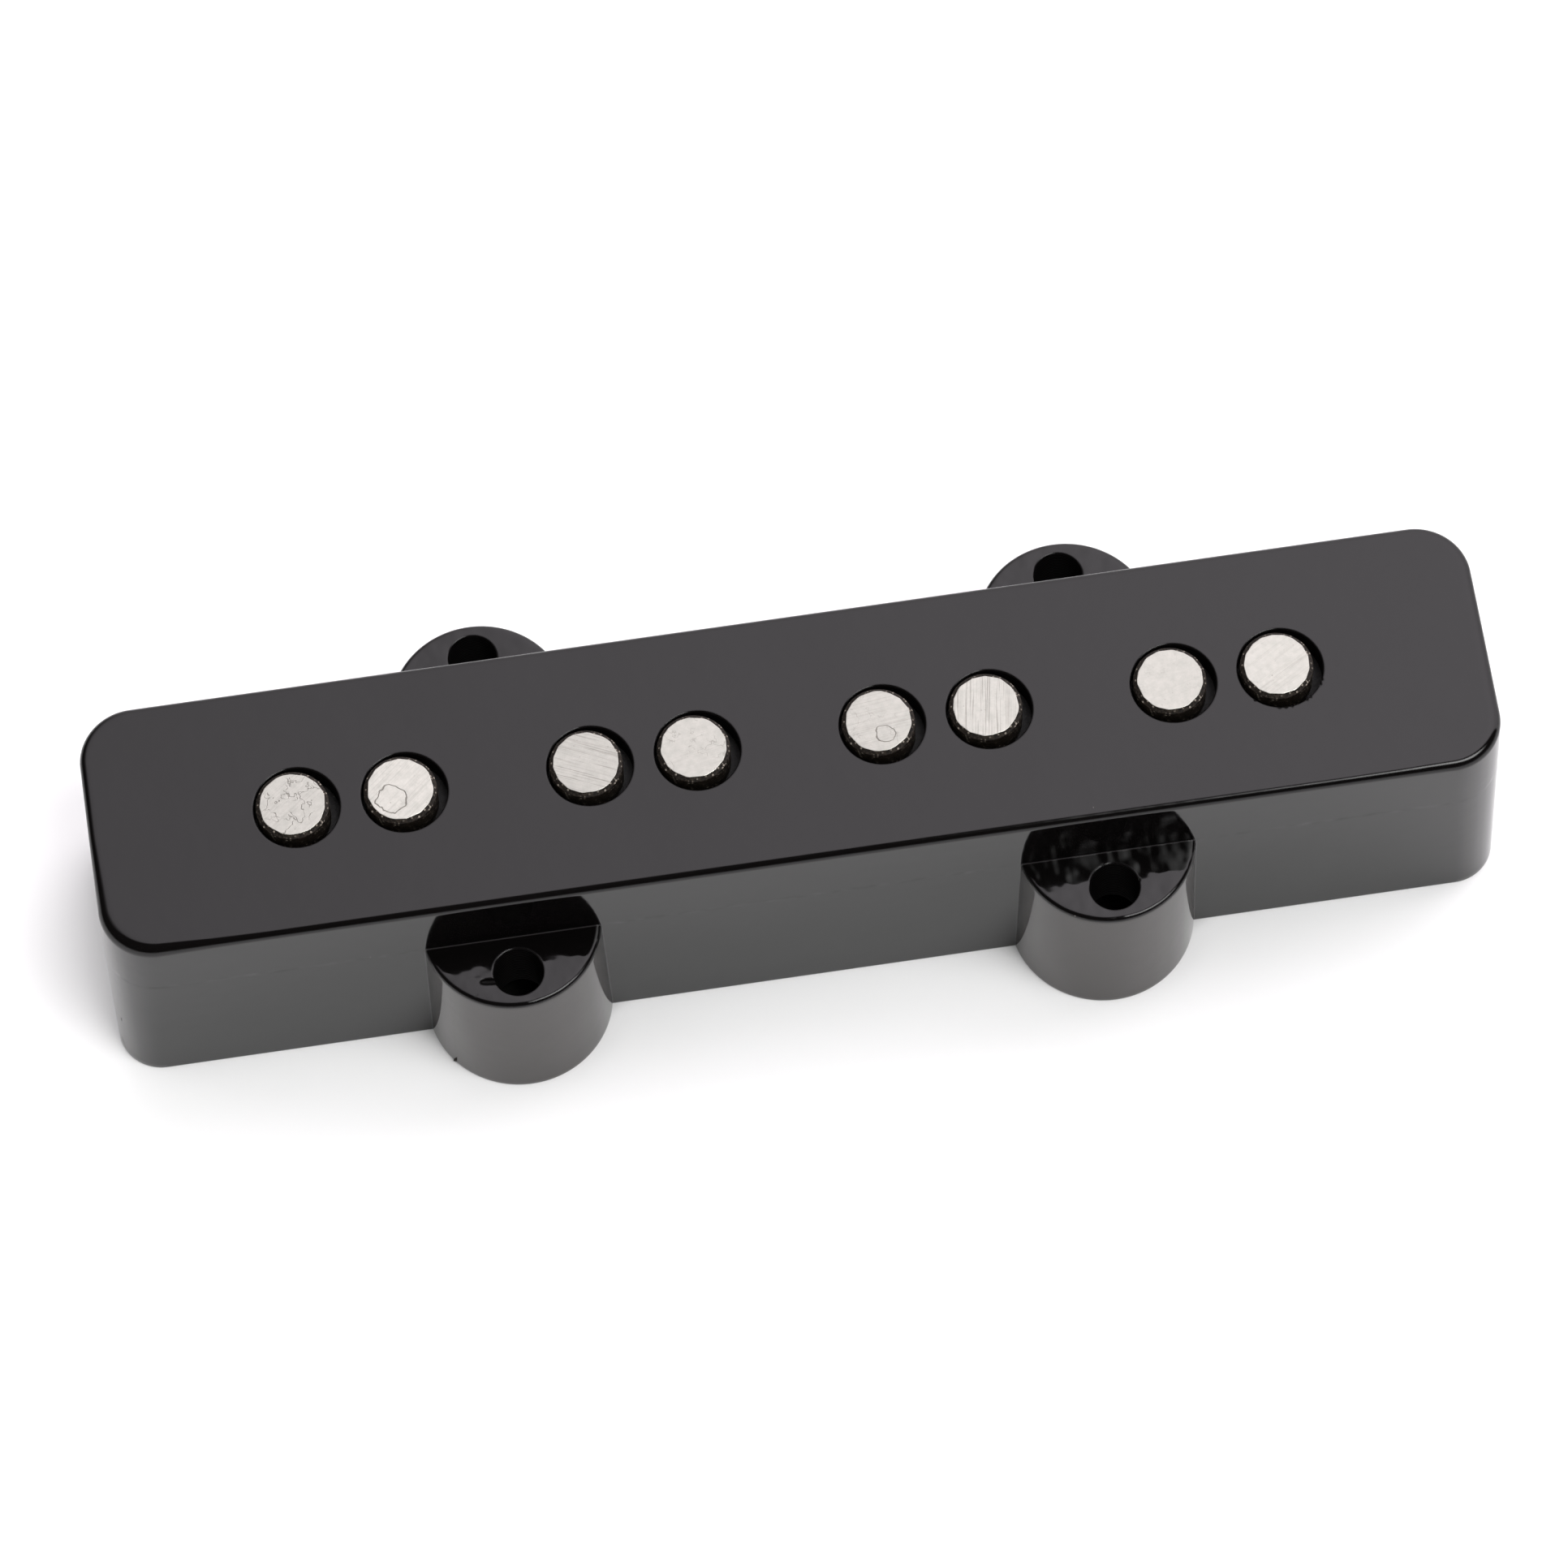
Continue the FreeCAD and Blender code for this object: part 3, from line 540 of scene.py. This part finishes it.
def lit_card():
    """The sheet that the pickup lies on: matt white acrylic, lit faintly from below by its own emission,
    with a painted contact shadow: where the pickup hems it in, its colour and its emission are darkened."""
    material, tree, shader, coordinates = start_material("white_acrylic_with_painted_shadow")
    open_sky = add_node(tree, "ShaderNodeAmbientOcclusion", {"Distance": PAINTED_SHADOW_REACH * MM},
                        samples=12).outputs["AO"]
    # Painted contact shadow: the colour darkens towards #8c8c8c where the occlusion finds the pickup close by.
    white = blend_colours(tree, ramp(tree, open_sky, 0.0, 0.5, 0.0, 1.0), linear("#8c8c8c"), linear("#f4f4f4"))
    grain = ramp(tree, noise(tree, coordinates, 2.0, 4.0), 0.3, 0.7, 0.97, 1.0)
    # Painted contact shadow: the emission is dimmed by the same occlusion.
    glow_with_painted_shadow = maths(tree, "MULTIPLY", maths(tree, "MULTIPLY", open_sky, CARD_GLOW), grain)
    set_shader(tree, shader, Base_Color=white, Roughness=1.0, Specular_IOR_Level=0.0,
               Emission_Color=(1.0, 1.0, 1.0, 1.0), Emission_Strength=glow_with_painted_shadow)
    return material


# ---------------------------------------------------------------- the cover
def soft_levels(height, foot, rim, rim_steps):
    """(inset, z) up a moulded wall: round the foot edge, up the wall, round the rim and in on top."""
    levels = [(inset, drop) for inset, drop in reversed(rounding(foot, 4))]
    levels += [(0, foot + 0.3), (0, height - rim - 0.3)]
    levels += [(inset, height - drop) for inset, drop in rounding(rim, rim_steps)]
    return levels + [(rim + FLAT_MARGIN, height)]


def leaning_outline(inset, z):
    """The cover's outline at a height; the walls lean in and the corners grow rounder as they rise."""
    lean = inset + DRAFT * z
    corner = FOOT_RADIUS + (CORNER_RADIUS - FOOT_RADIUS) * z / COVER_HEIGHT
    return outline(COVER_LENGTH - 2 * lean, COVER_WIDTH - 2 * lean, corner - inset)


def rim_radius_at(point):
    """The buffed rim: rounder where the wheel went round the front corners, the left one most."""
    left, right = (Vector((side * COVER_LENGTH / 2, -COVER_WIDTH / 2)) for side in (-1, 1))
    worn_left = max(0.0, 1 - (point - left).length / RIM_WEAR_REACH) * RIM_WEAR_LEFT
    worn_right = max(0.0, 1 - (point - right).length / RIM_WEAR_REACH) * RIM_WEAR_RIGHT
    return RIM_RADIUS + worn_left + worn_right


def cover_block():
    """The block of the cover: softened foot, leaning walls, and a rim whose radius varies."""
    rings = [raised(leaning_outline(inset, drop), drop) for inset, drop in reversed(rounding(FOOT_EDGE, 4))]
    rings += [raised(leaning_outline(0, z), z) for z in (0.6, 6.0, 12.0, COVER_HEIGHT - 2.2)]
    top = leaning_outline(0, COVER_HEIGHT)
    radii = [rim_radius_at(point) for point, _ in top]
    for step in range(RIM_STEPS + 1):
        angle = math.radians(90 * step / RIM_STEPS)
        reaches = [-radius * (1 - math.cos(angle)) for radius in radii]
        ring = raised(top, COVER_HEIGHT, reaches)
        rings.append([(x, y, z - radius * (1 - math.sin(angle))) for (x, y, z), radius in zip(ring, radii)])
    rings.append(raised(top, COVER_HEIGHT, [-radius - FLAT_MARGIN for radius in radii]))
    return loft(rings)


def ear_stub(x, y):
    """One ear before it meets the cover: a round post with a softened foot and a rounded top edge."""
    levels = soft_levels(EAR_HEIGHT, FOOT_EDGE, EAR_EDGE, 10)
    return loft([circle(EAR_RADIUS - inset - DRAFT * z, z, x, y, 160) for inset, z in levels])


def drill(radius, x, y, top_z, depth):
    """A straight hole with a softened mouth at top_z, as the skin that cuts it."""
    rings = [circle(radius, top_z - depth, x, y), circle(radius, top_z - HOLE_EDGE - 0.2, x, y)]
    for inset, drop in rounding(HOLE_EDGE, 6):
        rings.append(circle(radius + inset, top_z - drop, x, y))
    rings.append(circle(radius + HOLE_EDGE + 0.01, top_z + 0.5, x, y))
    return loft(rings)


def quarters(x, y):
    return [(right * x, far * y) for right in (-1, 1) for far in (-1, 1)]


def nicked_rim(x, y, z, radius, bearings, size):
    """Slivers broken from the mouth of a hole, at bearings in degrees round it."""
    chance = random.Random(7)
    skins = []
    for bearing in bearings:
        turn = math.radians(bearing)
        along = Vector((-math.sin(turn), math.cos(turn), 0)) * size * chance.uniform(0.5, 1.2)
        middle = Vector((x + (radius + 0.06) * math.cos(turn), y + (radius + 0.06) * math.sin(turn), z))
        skins.append(spindle(middle - along, middle + along * chance.uniform(0.6, 1.0), size * 0.9, 5))
    return skins


def moulding_marks():
    """Small marks: a shallow pull and a thin curl beside one screw hole, two scratches near the front left
    corner, and nicked rims."""
    pull = spindle((-22.02, -11.63, EAR_HEIGHT), (-20.5, -11.76, EAR_HEIGHT), 0.46, 12, blunt=True)
    curl = spindle((-22.5, -12.62, EAR_HEIGHT), (-22.2, -12.4, EAR_HEIGHT), 0.07)
    dash = spindle((-45.43, -7.46, 5.7), (-45.53, -7.38, 4.5), 0.16)
    scratch = spindle((-45.82, -6.98, 1.8), (-45.62, -7.56, 0.6), 0.1)
    nicks = nicked_rim(STRING_PITCH * 1.5 + PAIR_GAP / 2, 0, COVER_HEIGHT, POLE_RADIUS,
                       (-134, -100, -92, -84, -62, -56, -33, -26), 0.24)
    nicks += nicked_rim(EAR_SPACING / 2, -SCREW_SPACING / 2, EAR_HEIGHT, SCREW_RADIUS, (108, 9), 0.22)
    return [pull, curl, dash, scratch] + nicks


def make_cover(polished, drilled):
    """The moulding: block and ears in one, hollow from below, drilled for the magnets and the screws."""
    ears = quarters(EAR_SPACING / 2, EAR_OFFSET)
    screws = quarters(EAR_SPACING / 2, SCREW_SPACING / 2)
    poles = [((string - 1.5) * STRING_PITCH + side * PAIR_GAP / 2, 0.0)
             for string in range(4) for side in (-1, 1)]
    cover = make_piece("cover_moulding", cover_block(), [polished, drilled])
    carve(cover, joined([ear_stub(x, y) for x, y in ears]), "UNION")
    flash = spindle((-24.08, -11.42, 0.02), (-24.42, -11.76, 0.5), 0.36, 8)
    carve(cover, flash, "UNION")
    carve(cover, loft([raised(leaning_outline(SIDE_WALL, z), z) for z in (-1.0, COVER_HEIGHT - TOP_WALL)]))
    hollow = [loft([circle(EAR_RADIUS - EAR_WALL, z, x, y) for z in (-1.0, EAR_HEIGHT - EAR_ROOF)])
              for x, y in ears]
    carve(cover, joined(hollow))
    carve(cover, joined([drill(SCREW_RADIUS, x, y, EAR_HEIGHT, EAR_HEIGHT + 1) for x, y in screws]))
    carve(cover, joined([drill(POLE_RADIUS, x, y, COVER_HEIGHT, POLE_DRILL_DEPTH) for x, y in poles]))
    for mark in moulding_marks():
        carve(cover, mark)
    settle_shading(cover)
    for polygon in cover.data.polygons:
        place = polygon.center / MM
        by_screw = min((place.xy - Vector(screw)).length for screw in screws) < SCREW_RADIUS + 0.03
        by_pole = min((place.xy - Vector(pole)).length for pole in poles) < POLE_RADIUS + 0.03
        in_pull = place.z < EAR_HEIGHT - 0.02 and -22.1 < place.x < -21.0 and -11.95 < place.y < -11.4
        if in_pull or abs(polygon.normal.z) < 0.5 and (by_screw or by_pole):
            polygon.material_index = 1
    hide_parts("cover")
    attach(cover, "cover")


# ---------------------------------------------------------------- the magnets
def hand_ground_outline(radius, z, facets, roughness, seed, sides=96):
    """A round outline with small flats, as a file or belt leaves it."""
    chance = random.Random(seed)
    flats = [(math.tau * (n + chance.uniform(-0.35, 0.35)) / facets,
              radius * (1 - chance.uniform(0, roughness)))
             for n in range(facets)]
    points = []
    for step in range(sides):
        turn = math.tau * step / sides
        reach = radius * 1.01
        for direction, distance in flats:
            facing = math.cos(turn - direction)
            if facing > 0.5:
                reach = min(reach, distance / facing)
        points.append((reach * math.cos(turn), reach * math.sin(turn), z))
    return points


def make_magnet(number, skin, ground):
    """A cast rod with both ends ground; the grinding leaves a slightly faceted bright face."""
    low, high = box_mm(f"magnet_{number}")
    radius = (high.x - low.x) / 2
    middle = ((low.x + high.x) / 2, (low.y + high.y) / 2, 0)
    face = radius - MAGNET_BEVEL - FACE_UNDERCUT
    rings = [
        circle(face - 0.4, low.z),
        circle(face, low.z),
        circle(radius, low.z + MAGNET_BEVEL),
        circle(radius, high.z - 2 * MAGNET_BEVEL),
        circle(radius - 0.02, high.z - MAGNET_BEVEL),
        hand_ground_outline(face + 0.01, high.z - 0.01, FACE_FLATS, FACE_UNEVENNESS, number),
        hand_ground_outline(face - 0.02, high.z, FACE_FLATS, FACE_UNEVENNESS, number),
        circle(face - 0.4, high.z),
    ]
    piece = make_piece(f"magnet_rod_{number}", loft(rings), [skin, ground], middle)
    for polygon in piece.data.polygons:
        if polygon.normal.z > 0.9 and polygon.center.z > (high.z - 0.02) * MM:
            polygon.material_index = 1
    settle_shading(piece, 12)
    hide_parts(f"magnet_{number}")
    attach(piece, "coil_assembly")


# ---------------------------------------------------------------- the winding and its tape
def make_coil(material):
    """The winding, a ring of copper turns; single turns stand out only in the bare strips above and below."""
    low, high = box_mm("coil")
    middle = ((low.x + high.x) / 2, 0, 0)
    length, width = high.x - low.x, high.y - low.y
    inner_low, inner_high = box_mm("core_tape")
    chance = random.Random(3)
    steps = round((high.z - low.z) / WIRE_TURN * 2)
    rings = []
    for step in range(steps + 1):
        z = low.z + (high.z - low.z) * step / steps
        inset = 0.02 + 0.05 * (step % 2) + chance.uniform(0, 0.03)
        rings.append(rounded_rectangle(length - 2 * inset, width - 2 * inset, width / 2 - inset - 0.01, z))
    hole_length, hole_width = inner_high.x - inner_low.x, inner_high.y - inner_low.y
    rings += [rounded_rectangle(hole_length, hole_width, hole_width / 2 - 0.01, z) for z in (high.z, low.z)]
    coil = make_piece("coil_winding", loft(rings, close_ends=False, around=True), [material], middle)
    settle_shading(coil, 70)
    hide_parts("coil")
    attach(coil, "coil_assembly")


def make_coil_tape(material):
    """Cloth tape once round the winding, its end lapped over its start on the back straight."""
    low, high = box_mm("coil_tape")
    coil_low, coil_high = box_mm("coil")
    middle = ((coil_low.x + coil_high.x) / 2, 0, 0)
    length, width = coil_high.x - coil_low.x, coil_high.y - coil_low.y
    under = outline(length, width, width / 2 - 0.01, steps=48, along=160)
    chance = random.Random(5)
    thickness = []
    for point, facing in under:
        start = min(1.0, max(0.0, (point.x - TAPE_LAP_START) / TAPE_LAP_RISE))
        lapped = start if facing.y > 0.5 and point.x < TAPE_LAP_END else 0.0
        thickness.append(TAPE_THICKNESS + (TAPE_LAPPED - TAPE_THICKNESS) * lapped - chance.uniform(0, 0.012))
    levels = [(low.z, 0.6), (low.z + 0.05, 1.0), (low.z + 3.0, 1.0), (high.z - 3.0, 1.0), (high.z - 0.05, 1.0),
              (high.z, 0.6)]
    rings = [raised(under, z, [thick * share for thick in thickness]) for z, share in levels]
    rings += [raised(under, z, 0.001) for z in (high.z, low.z)]
    tape = make_piece("coil_cloth_tape", loft(rings, close_ends=False, around=True), [material], middle)
    settle_shading(tape, 50)
    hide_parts("coil_tape")
    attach(tape, "coil_assembly")


def dress(node_name, material):
    """A CAD piece keeps its shape and gets a finish."""
    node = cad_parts[node_name]
    if not node.material_slots:
        node.data.materials.append(material)
    for place in node.material_slots:
        place.material = material


# ---------------------------------------------------------------- studio
CAMERA_AZIMUTH = -6.518
CAMERA_ELEVATION = 65.689
CAMERA_ROLL = -2.160
CAMERA_DISTANCE = 503.5
CAMERA_AIM = (0.06, 4.88, 0.0)
CAMERA_LENS = 172.69

SAIL_STARTS = 8.0
SAIL_STRENGTH = (0.73, 2.82)
SAIL_BRIGHTENS = (-0.35, 0.16)
SAIL_FOOT = 0.7
SAIL_COLOUR = (1.0, 0.95, 1.0)
SAIL_LEFT_END = (-0.55, -0.2)
DARK_ROOM = (0.05, 0.045, 0.045)
ROOF_LIGHT_X = (0.085, 0.15)
ROOF_LIGHT_STRENGTH = 10.0
ROOF_LIGHT_HALF_WIDTH = (0.11, 0.18)
ROOF_LIGHT_MIDDLE = -0.28
ROOF_LIGHT_END = (0.72, 0.82)
CARD_GLOW = 0.15
PAINTED_SHADOW_REACH = 2.2


def make_camera():
    azimuth, elevation, roll = (math.radians(a) for a in (CAMERA_AZIMUTH, CAMERA_ELEVATION, CAMERA_ROLL))
    back = Vector((math.sin(azimuth) * math.cos(elevation), -math.cos(azimuth) * math.cos(elevation),
                   math.sin(elevation)))
    level = Vector((math.cos(azimuth), math.sin(azimuth), 0))
    rise = back.cross(level)
    right = math.cos(roll) * level + math.sin(roll) * rise
    up = -math.sin(roll) * level + math.cos(roll) * rise
    data = bpy.data.cameras.new("camera")
    data.sensor_width = 36
    data.lens = CAMERA_LENS
    data.clip_start = 0.01
    data.clip_end = 20
    camera = bpy.data.objects.new("camera", data)
    turn = Matrix((right, up, back)).transposed()
    camera.matrix_world = Matrix.Translation((Vector(CAMERA_AIM) + CAMERA_DISTANCE * back) * MM) @ turn.to_4x4()
    bpy.context.scene.collection.objects.link(camera)
    bpy.context.scene.camera = camera


def add_softbox(name, place, target, size, power):
    """A rectangular lamp, sizes and places in metres, facing target."""
    data = bpy.data.lights.new(name, "AREA")
    data.shape = "RECTANGLE"
    data.size, data.size_y = size
    data.energy = power
    lamp = bpy.data.objects.new(name, data)
    lamp.location = place
    lamp.rotation_euler = (Vector(target) - Vector(place)).to_track_quat("-Z", "Y").to_euler()
    bpy.context.scene.collection.objects.link(lamp)
    return lamp


def make_room():
    """Light from everywhere: a great white sail that starts just behind the zenith and comes down to the
    horizon at the back, brighter to the right and ending on the left; a roof light that runs from the
    zenith to the right; darkness in front; a pale line at eye level."""
    world = bpy.data.worlds.new("white_sail_in_a_dark_room")
    world.use_nodes = True
    tree = world.node_tree
    tree.nodes.clear()
    direction = add_node(tree, "ShaderNodeTexCoord").outputs["Generated"]
    parts = add_node(tree, "ShaderNodeSeparateXYZ", {0: direction}).outputs
    lean = math.radians(SAIL_STARTS)
    behind = add_node(tree, "ShaderNodeVectorMath", {0: direction, 1: (0, math.cos(lean), -math.sin(lean))},
                      operation="DOT_PRODUCT").outputs["Value"]
    sail = maths(tree, "MULTIPLY", ramp(tree, behind, -0.01, 0.04, 0.0, 1.0),
                 ramp(tree, parts["X"], *SAIL_LEFT_END, 0.0, 1.0))
    strength = ramp(tree, parts["X"], *SAIL_BRIGHTENS, *SAIL_STRENGTH)
    foot = ramp(tree, parts["Z"], 0.5, 0.9, SAIL_FOOT, 1.0)
    above = blend_colours(tree, sail, (*DARK_ROOM, 1), (*SAIL_COLOUR, 1))
    lit = maths(tree, "MULTIPLY", strength, foot)
    power = add_node(tree, "ShaderNodeMix", {0: sail, 2: 1.0, 3: lit}).outputs[0]
    off_line = maths(tree, "ABSOLUTE", maths(tree, "SUBTRACT", parts["Y"], ROOF_LIGHT_MIDDLE))
    roof = maths(tree, "MULTIPLY", ramp(tree, parts["X"], *ROOF_LIGHT_X, 0.0, ROOF_LIGHT_STRENGTH),
                 ramp(tree, off_line, *ROOF_LIGHT_HALF_WIDTH, 1.0, 0.0))
    roof = maths(tree, "MULTIPLY", roof, ramp(tree, parts["Z"], *ROOF_LIGHT_END, 0.0, 1.0))
    horizon = ramp(tree, parts["Z"], 0.08, 0.16, 0.0, 1.0)
    colour = blend_colours(tree, horizon, (0.93, 0.93, 0.93, 1), above)
    level = add_node(tree, "ShaderNodeMix", {0: horizon, 2: 1.0, 3: power}).outputs[0]
    sky = add_node(tree, "ShaderNodeBackground", {"Color": colour, "Strength": level}).outputs[0]
    lamp = add_node(tree, "ShaderNodeBackground", {"Color": (1, 1, 1, 1), "Strength": roof}).outputs[0]
    both = add_node(tree, "ShaderNodeAddShader", {0: sky, 1: lamp}).outputs[0]
    add_node(tree, "ShaderNodeOutputWorld", {"Surface": both})
    bpy.context.scene.world = world


def at_bearing(bearing, elevation, distance):
    """A place in metres: bearing in degrees from the front towards +X, elevation above the card."""
    flat = distance * math.cos(math.radians(elevation))
    return Vector((flat * math.sin(math.radians(bearing)), -flat * math.cos(math.radians(bearing)),
                   distance * math.sin(math.radians(elevation))))


def make_studio():
    card = make_piece("white_card", ([(-4000, -4000, 0), (4000, -4000, 0), (4000, 4000, 0), (-4000, 4000, 0)],
                                     [(0, 1, 2, 3)]), [lit_card()], (0, 0, -0.02))
    make_room()
    for side, bearing, power in (("front", 15, 4.0), ("left", -95, 3.0)):
        fill = add_softbox(f"{side}_fill", at_bearing(bearing, 50, 1.1), (0, 0, 0), (1.0, 0.9), power)
        fill.visible_glossy = False
    scene = bpy.context.scene
    scene.view_settings.view_transform = "Standard"
    scene.view_settings.look = "None"


# ---------------------------------------------------------------- the whole
make_camera()
make_studio()
make_cover(moulded_abs(), drilled_abs())
skin = cast_alnico_skin()
faces = [
    ground_alnico(1, 38, 1.13, lines=0.12, veins=0.55, pits=0.4),
    ground_alnico(2, 40, 1.28, lines=0.22, veins=0.1, pits=0.3, pool=(-0.68, -0.6, 0.95)),
    ground_alnico(3, -25, 1.04, lines=0.38, pits=0.2),
    ground_alnico(4, 10, 1.10, lines=0.08, veins=0.25, pits=0.2),
    ground_alnico(5, 6, 1.07, lines=0.2, veins=0.2, pits=0.2, pool=(0.3, -0.95, 0.6)),
    ground_alnico(6, 81, 1.14, lines=0.42, pits=0.3),
    ground_alnico(7, 15, 1.08, lines=0.05, veins=0.1, pits=0.5),
    ground_alnico(8, 30, 1.13, lines=0.17, pits=0.3),
]
for number, face in enumerate(faces, 1):
    make_magnet(number, skin, face)
make_coil(enamelled_copper("wound_enamelled_copper", turn_mm=WIRE_TURN))
make_coil_tape(woven_cloth_tape())
fibre = vulcanised_fibre()
brass = pressed_brass()
solder = set_solder()
wire = enamelled_copper("twisted_enamelled_copper")
for name, finish in (("top_flatwork", fibre), ("bottom_flatwork", fibre), ("core_tape", amber_film()),
                     ("hot_eyelet", brass), ("ground_eyelet", brass), ("hot_solder", solder),
                     ("ground_solder", solder), ("start_lead", wire), ("finish_lead", wire)):
    dress(name, finish)
